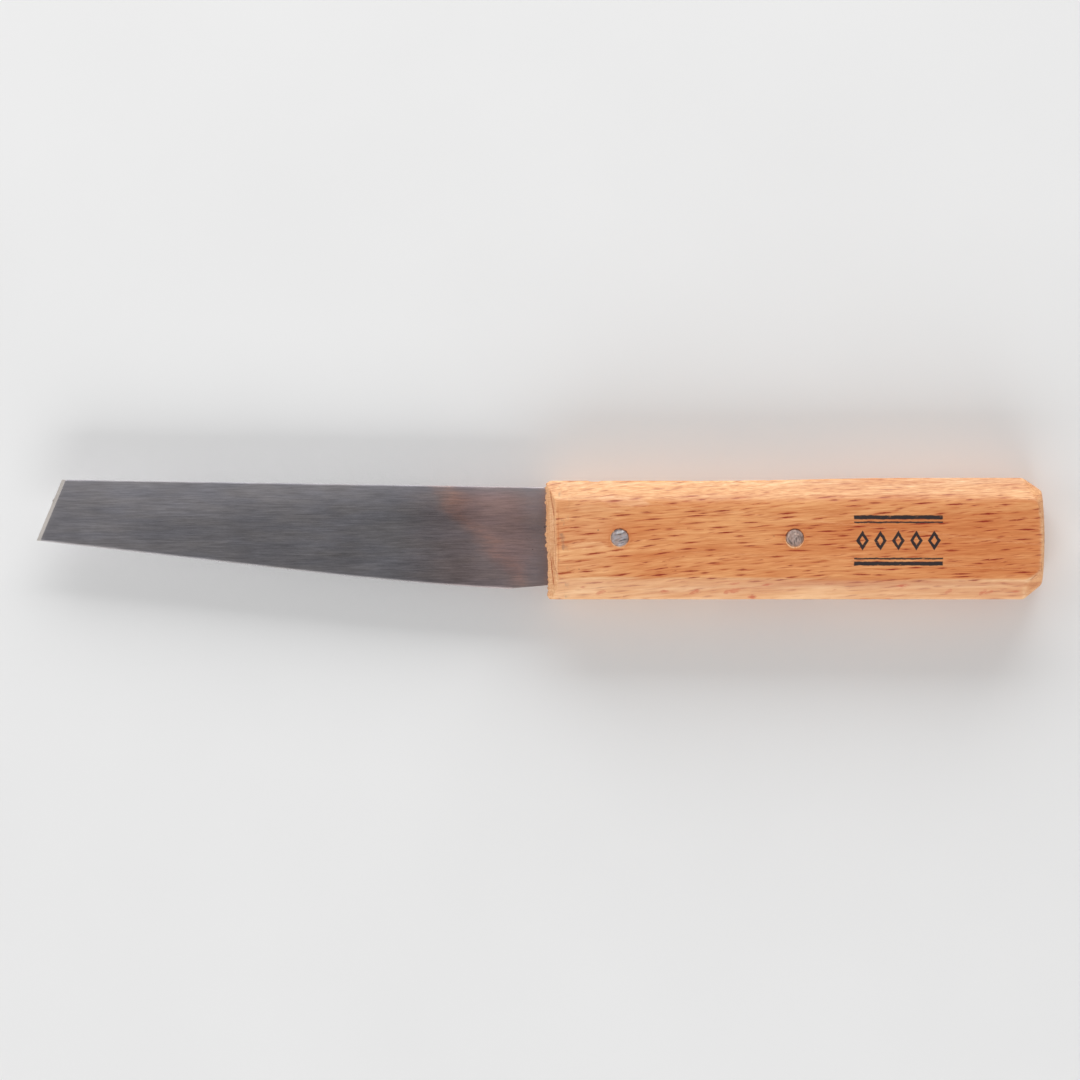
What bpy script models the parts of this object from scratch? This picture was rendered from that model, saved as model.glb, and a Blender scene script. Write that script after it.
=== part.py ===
"""Shoe knife: a skew-ended leather-cutting blade riveted into a slotted beech handle.

Units are metres. +X runs from the blade's point to the handle's butt, +Y from the cutting
edge to the spine, and +Z is up. The knife lies flat, with the handle's lower cheek on z = 0,
and the origin is under the middle of its bounding box.

Four pieces: the blade with its hidden tang, the handle, and two through rivets.
"""

import math

import bmesh
import bpy
from mathutils import Vector

# Overall
OVERALL_LENGTH = 0.2136
CLEARANCE = 0.0003  # air between pieces that touch on the real knife

# Handle
HANDLE_LENGTH = 0.1056
HANDLE_WIDTH = 0.0257
HANDLE_THICKNESS = 0.0143
HANDLE_NARROWING = 0.0006  # the spine side steps in gently, between these two places
NARROWING_START_X = 0.0800
NARROWING_END_X = 0.0350
CHAMFER_DEPTH = 0.0036  # of every chamfer, measured down from a cheek
LONG_CHAMFER = 0.0042  # chamfer widths, seen from above
FRONT_CHAMFER = 0.0022
BUTT_CHAMFER = 0.0010
CORNER_CHAMFER = 0.0025
BUTT_CORNER_LENGTH = 0.0040  # the clipped corners of the butt
BUTT_CORNER_WIDTH = 0.0024
BUTT_BOW = 0.0006  # how far the butt's end bulges
BUTT_STEPS = 6
ARRIS_ROUNDING = 0.00035
ARRIS_SEGMENTS = 2

# Slot sawn into the handle from its front end
SLOT_DEPTH = 0.0640
SAW_RADIUS = 0.1000  # the slot's blind end follows the circular saw
SAW_STEPS = 12

# Blade
BLADE_THICKNESS = 0.0016
TIP_SPINE_THICKNESS = 0.0012
CUTTING_EDGE_THICKNESS = 0.0003
SPINE_Y = 0.01085  # where the spine enters the handle
SPINE_RISE = 0.0160  # per metre of blade, towards the tip
POINT_Y = -0.0004
SKEW_SETBACK = 0.0054  # the tip's spine corner stands this far behind the point
SKEW_BEVEL = 0.0010
EDGE_DROP = 0.1148  # fall of the straight cutting edge, per metre of blade
BELLY_START_X = -0.0488
BELLY_RADIUS = 0.7050
BELLY_STEPS = 12
HEEL_X = -0.0069
HEEL_RISE = 0.0880  # rise of the lower edge behind the heel, per metre
GRIND_RUN_OUT = 0.0040  # behind the heel the lower edge grows back to full thickness

# Tang
TANG_LENGTH = 0.0605
TANG_END_SPINE_Y = 0.0095
TANG_END_EDGE_Y = -0.0080
TANG_CORNER = 0.0030

# Rivets
RIVET_DIAMETER = 0.0037
RIVET_SUNK = 0.0001  # ends ground just below the cheeks
RIVET_END_CHAMFER = 0.0002
RIVET_SIDES = 48
FRONT_RIVET_X = 0.0168
REAR_RIVET_X = 0.0539
RIVET_Y = 0.0001

# Worked out from the dimensions above
BUTT_X = OVERALL_LENGTH / 2
POINT_X = -OVERALL_LENGTH / 2
FRONT_X = BUTT_X - HANDLE_LENGTH
HALF_WIDTH = HANDLE_WIDTH / 2
MID_Z = HANDLE_THICKNESS / 2
OVERCUT = 0.0020  # how far a cutter passes the surface it cuts

BEECH = {"colour": (0.650, 0.300, 0.125, 1.0), "roughness": 0.55, "metallic": 0.0}
STEEL = {"colour": (0.160, 0.155, 0.165, 1.0), "roughness": 0.38, "metallic": 1.0}
IRON = {"colour": (0.370, 0.370, 0.390, 1.0), "roughness": 0.45, "metallic": 1.0}


def clear_scene():
    for old in list(bpy.data.objects):
        bpy.data.objects.remove(old, do_unlink=True)


def make_material(name, look):
    material = bpy.data.materials.new(name)
    material.use_nodes = True
    shader = material.node_tree.nodes["Principled BSDF"]
    shader.inputs["Base Color"].default_value = look["colour"]
    shader.inputs["Roughness"].default_value = look["roughness"]
    shader.inputs["Metallic"].default_value = look["metallic"]
    return material


def add_object(name, shape, material=None):
    """Turns a bmesh into a scene object, with all its faces pointing outwards."""
    bmesh.ops.recalc_face_normals(shape, faces=shape.faces)
    mesh = bpy.data.meshes.new(name)
    shape.to_mesh(mesh)
    shape.free()
    if material:
        mesh.materials.append(material)
    piece = bpy.data.objects.new(name, mesh)
    bpy.context.scene.collection.objects.link(piece)
    return piece


def loft(rings):
    """A closed body through rings of corners, all with the same number of corners."""
    shape = bmesh.new()
    loops = [[shape.verts.new(corner) for corner in ring] for ring in rings]
    for low, high in zip(loops, loops[1:]):
        for i in range(len(low)):
            j = (i + 1) % len(low)
            shape.faces.new((low[i], low[j], high[j], high[i]))
    shape.faces.new(loops[0])
    shape.faces.new(loops[-1])
    return shape


def at_height(outline, z):
    return [Vector((x, y, z)) for x, y in outline]


def inset(outline, widths):
    """Moves each side of a counter-clockwise outline inwards by its own width.

    Side i runs from corner i to the next one.
    """
    lines = []
    for i, width in enumerate(widths):
        start = Vector(outline[i])
        along = (Vector(outline[(i + 1) % len(outline)]) - start).normalized()
        inward = Vector((-along.y, along.x))
        lines.append((start + inward * width, along))
    corners = []
    for i, (start, along) in enumerate(lines):
        before, before_along = lines[i - 1]
        cross = before_along.x * along.y - before_along.y * along.x
        gap = start - before
        reach = (gap.x * along.y - gap.y * along.x) / cross
        corners.append(tuple(before + before_along * reach))
    return corners


def cut(piece, cutter):
    """Subtracts a cutter, which stays in the scene as a hidden guide."""
    cutter.hide_render = True
    cutter.display_type = "WIRE"
    boolean = piece.modifiers.new(f"cut {cutter.name}", "BOOLEAN")
    boolean.operation = "DIFFERENCE"
    boolean.solver = "EXACT"
    boolean.object = cutter


def drill(piece, name, x, radius):
    """A hole straight through in Z, on a rivet's axis."""
    shape = bmesh.new()
    bmesh.ops.create_cone(
        shape,
        cap_ends=True,
        segments=RIVET_SIDES,
        radius1=radius,
        radius2=radius,
        depth=HANDLE_THICKNESS + 2 * OVERCUT,
    )
    cutter = add_object(name, shape)
    cutter.location = (x, RIVET_Y, MID_Z)
    cut(piece, cutter)


def handle_outline():
    """The handle from above, counter-clockwise, and the width of the chamfer on each side."""
    corner_x = BUTT_X - BUTT_BOW
    corner_y = HALF_WIDTH - BUTT_CORNER_WIDTH
    outline = [(FRONT_X, -HALF_WIDTH), (BUTT_X - BUTT_CORNER_LENGTH, -HALF_WIDTH)]
    widths = [LONG_CHAMFER, CORNER_CHAMFER]
    radius = (corner_y**2 + BUTT_BOW**2) / (2 * BUTT_BOW)
    sweep = math.asin(corner_y / radius)
    for step in range(BUTT_STEPS + 1):
        angle = sweep * (2 * step / BUTT_STEPS - 1)
        bow = radius * (math.cos(angle) - math.cos(sweep))
        outline.append((corner_x + bow, radius * math.sin(angle)))
        widths.append(BUTT_CHAMFER)
    widths[-1] = CORNER_CHAMFER
    outline += [
        (BUTT_X - BUTT_CORNER_LENGTH, HALF_WIDTH),
        (NARROWING_START_X, HALF_WIDTH),
        (NARROWING_END_X, HALF_WIDTH - HANDLE_NARROWING),
        (FRONT_X, HALF_WIDTH - HANDLE_NARROWING),
    ]
    widths += [LONG_CHAMFER, LONG_CHAMFER, LONG_CHAMFER, FRONT_CHAMFER]
    return outline, widths


def handle_block(material):
    """The beech block: full outline at the sides, inset outline at both cheeks."""
    outline, widths = handle_outline()
    cheek = inset(outline, widths)
    rings = [
        at_height(cheek, 0),
        at_height(outline, CHAMFER_DEPTH),
        at_height(outline, HANDLE_THICKNESS - CHAMFER_DEPTH),
        at_height(cheek, HANDLE_THICKNESS),
    ]
    block = add_object("handle", loft(rings), material)
    rounding = block.modifiers.new("rounded arrises", "BEVEL")
    rounding.width = ARRIS_ROUNDING
    rounding.segments = ARRIS_SEGMENTS
    rounding.limit_method = "ANGLE"
    rounding.angle_limit = math.radians(20)
    return block


def slot_cutter():
    """The saw kerf: open at the front and on both narrow sides, with a round blind end."""
    half_height = HALF_WIDTH + OVERCUT
    centre_x = FRONT_X + SLOT_DEPTH - SAW_RADIUS
    sweep = math.asin(half_height / SAW_RADIUS)
    profile = [(FRONT_X - OVERCUT, half_height), (FRONT_X - OVERCUT, -half_height)]
    for step in range(SAW_STEPS + 1):
        angle = sweep * (2 * step / SAW_STEPS - 1)
        profile.append(
            (centre_x + SAW_RADIUS * math.cos(angle), SAW_RADIUS * math.sin(angle))
        )
    half_kerf = BLADE_THICKNESS / 2 + CLEARANCE
    rings = [at_height(profile, MID_Z - half_kerf), at_height(profile, MID_Z + half_kerf)]
    return add_object("slot_cutter", loft(rings))


def spine_y(x):
    return SPINE_Y + SPINE_RISE * (FRONT_X - x)


def edge_y(x):
    """The lower edge: straight from the point, curved to the heel, then rising to the tang."""
    straight = POINT_Y - EDGE_DROP * (min(x, HEEL_X) - POINT_X)
    belly = max(min(x, HEEL_X) - BELLY_START_X, 0) ** 2 / (2 * BELLY_RADIUS)
    return straight + belly + HEEL_RISE * max(x - HEEL_X, 0)


def spine_thickness(x):
    """Tapers evenly from the handle to the tip."""
    share = min((FRONT_X - x) / (FRONT_X - POINT_X), 1)
    return BLADE_THICKNESS + (TIP_SPINE_THICKNESS - BLADE_THICKNESS) * max(share, 0)


def cross_section(edge, spine, edge_thickness, spine_thick):
    """Four corners across the blade: edge and spine, above and below the middle plane."""
    return [
        Vector((*edge, MID_Z + edge_thickness / 2)),
        Vector((*spine, MID_Z + spine_thick / 2)),
        Vector((*spine, MID_Z - spine_thick / 2)),
        Vector((*edge, MID_Z - edge_thickness / 2)),
    ]


def blade_sections():
    """Cross-sections from the skew end to the end of the tang."""
    sections = []
    skew_height = spine_y(POINT_X + SKEW_SETBACK) - POINT_Y
    bevel_run = SKEW_BEVEL * math.hypot(SKEW_SETBACK, skew_height) / skew_height
    for run, spine_thick in ((0, CUTTING_EDGE_THICKNESS), (bevel_run, TIP_SPINE_THICKNESS)):
        edge_x = POINT_X + run
        spine_x = edge_x + SKEW_SETBACK
        sections.append(
            cross_section(
                (edge_x, edge_y(edge_x)),
                (spine_x, spine_y(spine_x)),
                CUTTING_EDGE_THICKNESS,
                spine_thick,
            )
        )
    for step in range(BELLY_STEPS + 1):
        x = BELLY_START_X + (HEEL_X - BELLY_START_X) * step / BELLY_STEPS
        sections.append(
            cross_section(
                (x, edge_y(x)), (x, spine_y(x)), CUTTING_EDGE_THICKNESS, spine_thickness(x)
            )
        )
    tang_end_x = FRONT_X + TANG_LENGTH
    outline_behind_heel = [
        (HEEL_X + GRIND_RUN_OUT, edge_y(HEEL_X + GRIND_RUN_OUT), spine_y(HEEL_X + GRIND_RUN_OUT)),
        (FRONT_X, edge_y(FRONT_X), SPINE_Y),
        (tang_end_x - TANG_CORNER, TANG_END_EDGE_Y, TANG_END_SPINE_Y),
        (tang_end_x, TANG_END_EDGE_Y + TANG_CORNER, TANG_END_SPINE_Y - TANG_CORNER),
    ]
    for x, low, high in outline_behind_heel:
        sections.append(
            cross_section((x, low), (x, high), BLADE_THICKNESS, BLADE_THICKNESS)
        )
    return sections


def rivet(name, x, material):
    """A straight pin whose ends are eased where they were ground flush."""
    radius = RIVET_DIAMETER / 2
    half_length = MID_Z - RIVET_SUNK
    profile = [
        (radius - RIVET_END_CHAMFER, -half_length),
        (radius, -half_length + RIVET_END_CHAMFER),
        (radius, half_length - RIVET_END_CHAMFER),
        (radius - RIVET_END_CHAMFER, half_length),
    ]
    rings = []
    for ring_radius, z in profile:
        turns = [2 * math.pi * side / RIVET_SIDES for side in range(RIVET_SIDES)]
        rings.append(
            [Vector((ring_radius * math.cos(t), ring_radius * math.sin(t), z)) for t in turns]
        )
    pin = add_object(name, loft(rings), material)
    pin.location = (x, RIVET_Y, MID_Z)
    pin.data.shade_smooth()
    pin.data.set_sharp_from_angle(angle=math.radians(30))


def main():
    clear_scene()
    beech = make_material("beech", BEECH)
    steel = make_material("blade_steel", STEEL)
    iron = make_material("rivet_iron", IRON)

    handle = handle_block(beech)
    blade = add_object("blade", loft(blade_sections()), steel)
    cut(handle, slot_cutter())

    hole_radius = RIVET_DIAMETER / 2 + CLEARANCE
    for side, x in (("front", FRONT_RIVET_X), ("rear", REAR_RIVET_X)):
        drill(handle, f"{side}_handle_hole", x, hole_radius)
        drill(blade, f"{side}_tang_hole", x, hole_radius)
        rivet(f"{side}_rivet", x, iron)


main()
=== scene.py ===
"""Looks of the shoe knife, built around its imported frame.

All geometry here is worked out in millimetres in the row frame, and turned into metres where
a mesh is made: +X from the blade's point to the handle's butt, +Y from the cutting edge to
the spine, +Z up. The handle, the blade and both rivets are rebuilt as fine meshes in the same
places, and every material is procedural.
"""

import math

import bpy
import mathutils
import numpy as np
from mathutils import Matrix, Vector


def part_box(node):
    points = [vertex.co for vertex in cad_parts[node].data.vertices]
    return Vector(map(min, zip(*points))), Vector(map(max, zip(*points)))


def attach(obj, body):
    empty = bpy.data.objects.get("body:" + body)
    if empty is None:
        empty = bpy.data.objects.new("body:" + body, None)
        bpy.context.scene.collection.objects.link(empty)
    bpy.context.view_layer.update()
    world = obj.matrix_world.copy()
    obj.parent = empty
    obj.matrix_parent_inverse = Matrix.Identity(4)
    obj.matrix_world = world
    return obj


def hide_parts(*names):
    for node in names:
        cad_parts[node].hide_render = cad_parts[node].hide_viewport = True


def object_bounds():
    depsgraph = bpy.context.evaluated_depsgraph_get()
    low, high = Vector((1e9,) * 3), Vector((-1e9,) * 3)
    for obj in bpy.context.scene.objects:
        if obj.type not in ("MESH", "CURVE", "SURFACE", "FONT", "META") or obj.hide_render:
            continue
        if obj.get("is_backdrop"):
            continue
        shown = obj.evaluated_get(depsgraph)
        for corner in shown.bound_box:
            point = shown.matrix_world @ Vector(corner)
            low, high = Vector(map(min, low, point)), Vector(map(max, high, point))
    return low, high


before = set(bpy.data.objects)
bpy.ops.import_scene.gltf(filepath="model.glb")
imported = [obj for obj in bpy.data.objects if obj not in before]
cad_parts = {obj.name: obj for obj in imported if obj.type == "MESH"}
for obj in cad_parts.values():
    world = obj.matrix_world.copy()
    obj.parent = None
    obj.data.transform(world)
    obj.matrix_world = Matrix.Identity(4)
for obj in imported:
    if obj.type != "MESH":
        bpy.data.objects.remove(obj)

MM = 0.001
BODY = "root"
RIVET_NODES = ("front_rivet", "rear_rivet")

# Handle facets. A chamfer's width is seen from above, its depth is measured from the cheek.
CORE_INSET = 7.15
CHAMFER_DEPTH = 3.6
SPINE_CHAMFER = 4.65
EDGE_CHAMFER_FRONT = 4.5
EDGE_CHAMFER_BUTT = 3.95
EDGE_CHAMFER_FOLD = (2.0, 1.55)
FRONT_SLANT = 0.2
FRONT_SLIVER = 2.6
FRONT_SLIVER_DROP = 0.22
BUTT_BOW = 0.6
BUTT_BOW_HALF = 10.45
BUTT_STRIP = (0.5, 0.8)
NARROWING = 0.6
NARROWING_FROM_BUTT = (27.0, 72.0)
ARRIS_SHARPNESS = 7.0
SOFT_ARRIS_SHARPNESS = 2.2
SOFT_ARRIS_REACH = (2.6, 1.2)
SOFT_ARRIS_FROM_END = (3.5, 7.0)
BUTT_SOFTNESS = 0.65

# Handle mesh
HANDLE_END_ZONE = 5.0
HANDLE_STEPS = {"x": 0.75, "x_at_ends": 0.15, "y": 0.22, "z": 0.31}
HANDLE_SHARP_DEGREES = 50

# Handle relief. Each roughness is its height in mm, its waves per mm along X, Y, Z and its seed.
WAVES = (0.030, (0.09, 0.20, 0.20), 1)
RIPPLES = (0.014, (0.45, 1.2, 1.2), 2)
NIBBLED_SIDES = (0.045, (0.35, 0.3, 0.5), 3)
TORN_FRONT = (
    (0.15, (0.25, 0.7, 0.7), 4),
    (0.34, (0.3, 1.3, 0.4), 5),
    (0.22, (0.4, 3.1, 0.9), 9),
)
BUTT_ROUGHNESS = (0.04, (0.3, 0.8, 0.8), 6)
# Chips in the spine side: start and end behind the front, and depth
CHIPS = ((9.0, 11.4, 0.20), (31.0, 33.0, 0.07), (46.5, 47.5, 0.08))

# Blade
POINT_Y = -0.4
SKEW_SETBACK = 5.4
SKEW_FADE = 26.0
SKEW_BEVEL = 0.76
SPINE_Y = 10.85
SPINE_RISE = 0.016
EDGE_DROP = 0.1148
BELLY_START_X = -48.8
BELLY_RADIUS = 705.0
HEEL_X = -6.9
HEEL_RISE = 0.088
GRIND_RUN_OUT = 7.0
TIP_SPINE_THICKNESS = 1.2
EDGE_THICKNESS = 0.3
KEEN_THICKNESS = 0.06
MICRO_BEVEL = 0.34
WHETTED_SHARE = 0.25
WORN_BEVEL_SHARE = 0.12
EDGE_ROWS = (0.0, 0.17, 0.34, 0.6)
SPINE_ROWS = (0.6, 0.28, 0.14, 0.0)
CROSS_ROWS = 58
SPINE_EASE = (0.28, 0.080)
TANG_END_EDGE_Y = -8.0
TANG_END_SPINE_Y = 9.5
TANG_CORNER = 3.0
GROUND_WAVES = ((0.012, (0.10, 0.16, 1.0), 7), (0.004, (0.25, 0.9, 1.0), 8))
SKEW_RAGGEDNESS = (0.05, (0.2, 2.2, 0.0), 10)
NICK = {"depth": 0.22, "y": 8.1, "half_width": 0.3}
BLADE_SHARP_DEGREES = 18

# Fits
SLOT_GAP = 0.05
SLOT_DEPTH = 64.0
SAW_RADIUS = 100.0
SAW_POINTS = 33
HOLE_GAP = 0.035
HOLE_SIDES = 72
TANG_HOLE_SIDES = 48
CUTTER_OVERHANG = 2.0
SLOT_OVERHANG = 3.0
HOLE_SHIFT = {"front_rivet": (0.01, 0.025), "rear_rivet": (0.005, 0.025)}

# Rivets
RIVET_SIDES = 96
RIVET_END_RINGS = 22
RIVET_RIM = (0.10, 0.04)
RIVET_SUNK = 0.02
RIM_DROP = 0.06
RIM_WIDTH = 0.20
SCRATCH_HEIGHT = 0.045
RIVET_SHARP_DEGREES = 45
# Each rivet's shift for its ring of painted gap shade, then for its pale chip
SEAT_SHIFTS = {
    "front_rivet": ((0.06, 0.17), (-0.06, -0.02)),
    "rear_rivet": ((-0.05, 0.13), (-0.05, -0.19)),
}
# Each mark, a scratch or a streak of painted highlight: its start and end from the rivet's middle,
# its half width and its change of light
FRONT_RIVET_MARKS = (
    ((-0.75, 0.98), (0.92, 1.42), 0.20, 0.75),
    ((-0.40, -0.78), (1.50, -0.12), 0.15, -0.55),
    ((-0.50, 0.72), (0.55, 0.86), 0.10, -0.35),
    ((-0.95, -0.98), (0.90, -0.55), 0.11, 0.35),
    ((0.15, -1.15), (0.95, -0.85), 0.10, -0.45),
)
REAR_RIVET_MARKS = (
    ((-1.40, -0.30), (-0.50, -1.40), 0.20, -0.40),
    ((0.25, -0.95), (0.35, 0.35), 0.13, -0.50),
    ((0.95, -0.65), (0.80, 0.60), 0.14, -0.55),
    ((-0.35, 0.95), (0.85, 0.75), 0.15, 0.50),
    ((-1.45, 0.05), (-1.20, 0.85), 0.15, 0.45),
    ((-0.15, -1.25), (-0.05, -0.45), 0.12, -0.42),
)
FRONT_RIVET_TONES = ((226, 204, 198), (214, 205, 208))
REAR_RIVET_TONES = ((232, 198, 184), (222, 196, 186))

# Wood. The colours are 0-255 display values.
WOOD = {
    "pale_band": (233, 165, 108),
    "deep_band": (210, 128, 73),
    "paler_front": (238, 186, 138),
    "slanting": (232, 197, 150),
    "outer_highlight": (248, 210, 166),
    "worn_arris_and_highlight": (248, 208, 162),
    "thread": (184, 100, 58),
    "fleck_halo": (203, 108, 56),
    "dark_fleck": (142, 28, 4),
    "faint_fleck": (172, 62, 22),
    "broad_fleck": (196, 88, 50),
    "deep_ring": (214, 152, 104),
    "pale_ring": (238, 184, 136),
    "crease_shade": (178, 92, 46),
    "open_ray": (200, 100, 60),
    "smudge": (128, 104, 92),
    "speck": (70, 46, 36),
    "bruise": (196, 106, 52),
    "chipped": (240, 204, 160),
    "gap_shade": (104, 46, 26),
    "ink": (32, 30, 35),
}
GRAIN_LEAN_DEGREES = -3.4
GRAIN_ARCH = 0.00042
GRAIN_ARCH_FROM_BUTT = 52.0
# Paler and darker places on the handle: start, end, half width, depth and colour
# The first, third and fourth are painted light: a painted highlight along the spine side's chamfer,
# paler where it dips towards the cheek and darker further back
TONE_AND_HIGHLIGHT_PATCHES = (
    ((12.0, 8.5), (23.5, 7.3), 1.00, 0.60, (246, 190, 144)),
    ((5.5, -1.2), (14.5, -1.7), 0.95, 0.50, (246, 190, 138)),
    ((5.0, 6.6), (19.5, 6.2), 0.80, 0.30, (240, 184, 134)),
    ((26.0, 8.2), (40.5, 8.6), 0.90, 0.35, (214, 142, 94)),
)
# Painted shade along creases, and rays cut open in the wood: start, end, half width and depth. X
# counts from the handle's front or, if negative, from its butt, and Y from its edge side or, if
# negative, its spine side.
CREASE_SHADES = (
    ((0.85, -2.2), (1.75, -8.6), 0.12, 0.80),
    ((1.55, -7.4), (2.15, 5.2), 0.10, 0.45),
    ((0.80, 10.4), (1.75, 2.2), 0.13, 0.85),
    ((1.10, 9.6), (2.45, 4.6), 0.10, 0.50),
    ((2.55, -4.3), (2.62, 4.2), 0.09, 0.40),
    ((2.40, 12.0), (9.20, 12.9), 0.15, 0.60),
    ((2.60, 5.2), (6.40, 6.4), 0.14, 0.60),
    ((-1.35, -5.0), (-0.95, -7.8), 0.10, 0.42),
    ((-0.66, 8.4), (-0.70, 5.8), 0.09, 0.45),
    ((-1.50, 5.3), (-3.40, 3.9), 0.12, 0.50),
)
OPEN_RAYS = (
    ((10.4, 1.15), (12.8, 1.75), 0.36, 0.62),
    ((24.2, 1.50), (26.2, 1.80), 0.32, 0.36),
    ((30.2, 1.10), (32.6, 1.95), 0.34, 0.72),
    ((37.4, 1.35), (41.4, 2.10), 0.44, 0.72),
    ((-21.2, 1.20), (-19.5, 2.10), 0.36, 0.60),
    ((-14.0, 0.90), (-12.2, 2.05), 0.36, 0.70),
    ((-12.8, 1.10), (-10.8, 1.85), 0.28, 0.60),
)
# The stamp: a row of lozenges between two pairs of rules
STAMP_PLACE = (75.8, -0.4)
STAMP_HALF_LENGTH = 9.4
STAMP_EDGE = 0.10
THICK_RULE = (4.9, 0.42)
THIN_RULE = (3.85, 0.17)
LOZENGE_STEP = 3.8
LOZENGE_HALF_SIZE = (1.35, 2.1)

# Steel. The tints multiply the colour under them.
STEEL = {
    "warm_grey": (172, 168, 171),
    "cool_grey": (168, 166, 173),
    "pit": (52, 42, 40),
    "honed_low": (214, 208, 202),
    "honed_high": (186, 180, 174),
}
BROWN_TINT = (1.34, 0.96, 0.86, 1.0)
STRAW_TINT = (1.44, 1.14, 0.94, 1.0)
# Painted reflections on the blade, paler and darker places: middle, half length and half height,
# change of light
BLADE_REFLECTION_PATCHES = (
    ((-70.0, 8.0), (22.0, 6.0), 0.10),
    ((-49.0, -3.0), (12.0, 7.0), -0.03),
    ((-22.0, 7.2), (13.0, 5.2), -0.16),
    ((-20.0, -6.0), (14.0, 8.5), -0.155),
)

# Studio, in metres
CAMERA_HEIGHT = 5.0
SENSOR_WIDTH = 36.0
VIEW_REACH = 20.0
FRAME_WIDTH = 0.22896
FRAME_SHIFT = (-0.00008, -0.0003)
FLOOR_HALF_SIZE = 3.0
FLOOR_GAP = 0.00005
FLOOR_GREYS = ((0.80, 0.80, 0.80, 1), (0.84, 0.84, 0.84, 1))
# The room's grey at each height, from the horizon at 0 to overhead at 1
WORLD_GREYS = ((0.0, 0.70), (0.75, 0.34), (1.0, 0.185))
# Softboxes: place, size and power
SOFTBOXES = {
    "spine_side_softbox": ((0, 0.95, 0.42), (1.3, 0.5), 10.6),
    "edge_side_softbox": ((0, -0.95, 0.48), (1.3, 0.5), 7.5),
    "tip_side_softbox": ((-1.0, 0.1, 0.5), (0.5, 0.8), 1.8),
}


def box_mm(node):
    low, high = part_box(node)
    return np.array(low) / MM, np.array(high) / MM


def rivet_circle(node):
    """A rivet's middle seen from above, and its radius."""
    low, high = box_mm(node)
    return ((low + high) / 2)[:2], (high[0] - low[0]) / 2


def on_handle(x, y):
    """A spot seen from above: from the front and the edge side, or if negative the far ones."""
    low, high = box_mm("handle")
    return (high if x < 0 else low)[0] + x, (high if y < 0 else low)[1] + y


def ease(low, high, x):
    """0 at low and 1 at high, smooth between; low may be above high."""
    t = np.clip((x - low) / (high - low), 0, 1)
    return t * t * (3 - 2 * t)


def noise_at(points, scale, seed):
    """Smooth noise from about -1 to 1 at each point; scale is waves per mm along X, Y, Z."""
    shift = np.array((11.3, 5.7, 8.9)) * seed
    return np.array([mathutils.noise.noise(Vector(p)) for p in points * np.array(scale) + shift])


def roughness(points, height, scale, seed):
    return height * noise_at(points, scale, seed)


# --- meshes


def lattice_shell(xs, ys, zs):
    """The skin of a box-shaped lattice: its points and its outward-facing quads."""
    shape = (len(xs), len(ys), len(zs))
    skin = np.zeros(shape, bool)
    for axis in range(3):
        whole = [slice(None)] * axis
        skin[(*whole, 0)] = True
        skin[(*whole, -1)] = True
    ids = np.full(shape, -1)
    ids[skin] = np.arange(skin.sum())
    i, j, k = np.nonzero(skin)
    points = np.stack([xs[i], ys[j], zs[k]], axis=1)
    quads = []
    for axis in range(3):
        for end in (0, -1):
            side = np.take(ids, end, axis=axis)
            corners = [side[:-1, :-1], side[1:, :-1], side[1:, 1:], side[:-1, 1:]]
            faces = np.stack(corners, axis=-1).reshape(-1, 4)
            inward = (end == 0) != (axis == 1)
            quads.append(faces[:, ::-1] if inward else faces)
    return points, np.concatenate(quads)


def linked(name, data):
    made = bpy.data.objects.new(name, data)
    bpy.context.scene.collection.objects.link(made)
    return made


def mesh_object(name, points, faces):
    """A new object in the scene, from points in metres."""
    mesh = bpy.data.meshes.new(name)
    mesh.from_pydata(points, [], faces)
    return linked(name, mesh)


def lattice_object(name, points_mm, quads):
    return mesh_object(name, (points_mm * MM).tolist(), quads.tolist())


def capped(name, points_mm, sides, ring):
    """A closed tube of rings of points, with a flat cap on its first and its last ring."""
    count = len(points_mm)
    caps = [tuple(range(ring))[::-1], tuple(range(count - ring, count))]
    return mesh_object(name, [Vector(p) * MM for p in points_mm], sides + caps)


def tube_sides(ring, rings):
    """The quads between each ring of points and the next one."""
    faces = []
    for start in range(0, ring * (rings - 1), ring):
        for side in range(ring):
            after = (side + 1) % ring
            faces.append((start + side, start + after, start + ring + after, start + ring + side))
    return faces


def prism(name, outline, low_z, high_z):
    points = [(x, y, z) for z in (low_z, high_z) for x, y in outline]
    return capped(name, points, tube_sides(len(outline), 2), len(outline))


def round_cutter(name, centre, radius, sides, low_z, high_z):
    """A prism for a rivet's hole, longer than the hole at both ends."""
    turns = [2 * math.pi * i / sides for i in range(sides)]
    outline = [(centre[0] + radius * math.cos(t), centre[1] + radius * math.sin(t)) for t in turns]
    return prism(name, outline, low_z - CUTTER_OVERHANG, high_z + CUTTER_OVERHANG)


def store(piece, name, values):
    attribute = piece.data.attributes.new(name, "FLOAT", "POINT")
    attribute.data.foreach_set("value", np.asarray(values, np.float32))


def cut_away(piece, cutters):
    """Subtracts the cutters from a piece for good, and removes them."""
    for cutter in cutters:
        boolean = piece.modifiers.new(cutter.name, "BOOLEAN")
        boolean.operation = "DIFFERENCE"
        boolean.solver = "MANIFOLD"
        boolean.object = cutter
    graph = bpy.context.evaluated_depsgraph_get()
    cut = bpy.data.meshes.new_from_object(
        piece.evaluated_get(graph), preserve_all_data_layers=True, depsgraph=graph
    )
    piece.modifiers.clear()
    piece.data = cut
    for cutter in cutters:
        bpy.data.objects.remove(cutter)


def dress(piece, material, sharp_degrees):
    """One material, and smooth shading but for edges sharper than an angle."""
    piece.data.shade_smooth()
    piece.data.set_sharp_from_angle(angle=math.radians(sharp_degrees))
    piece.data.materials.clear()
    piece.data.materials.append(material)


# --- materials


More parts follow.
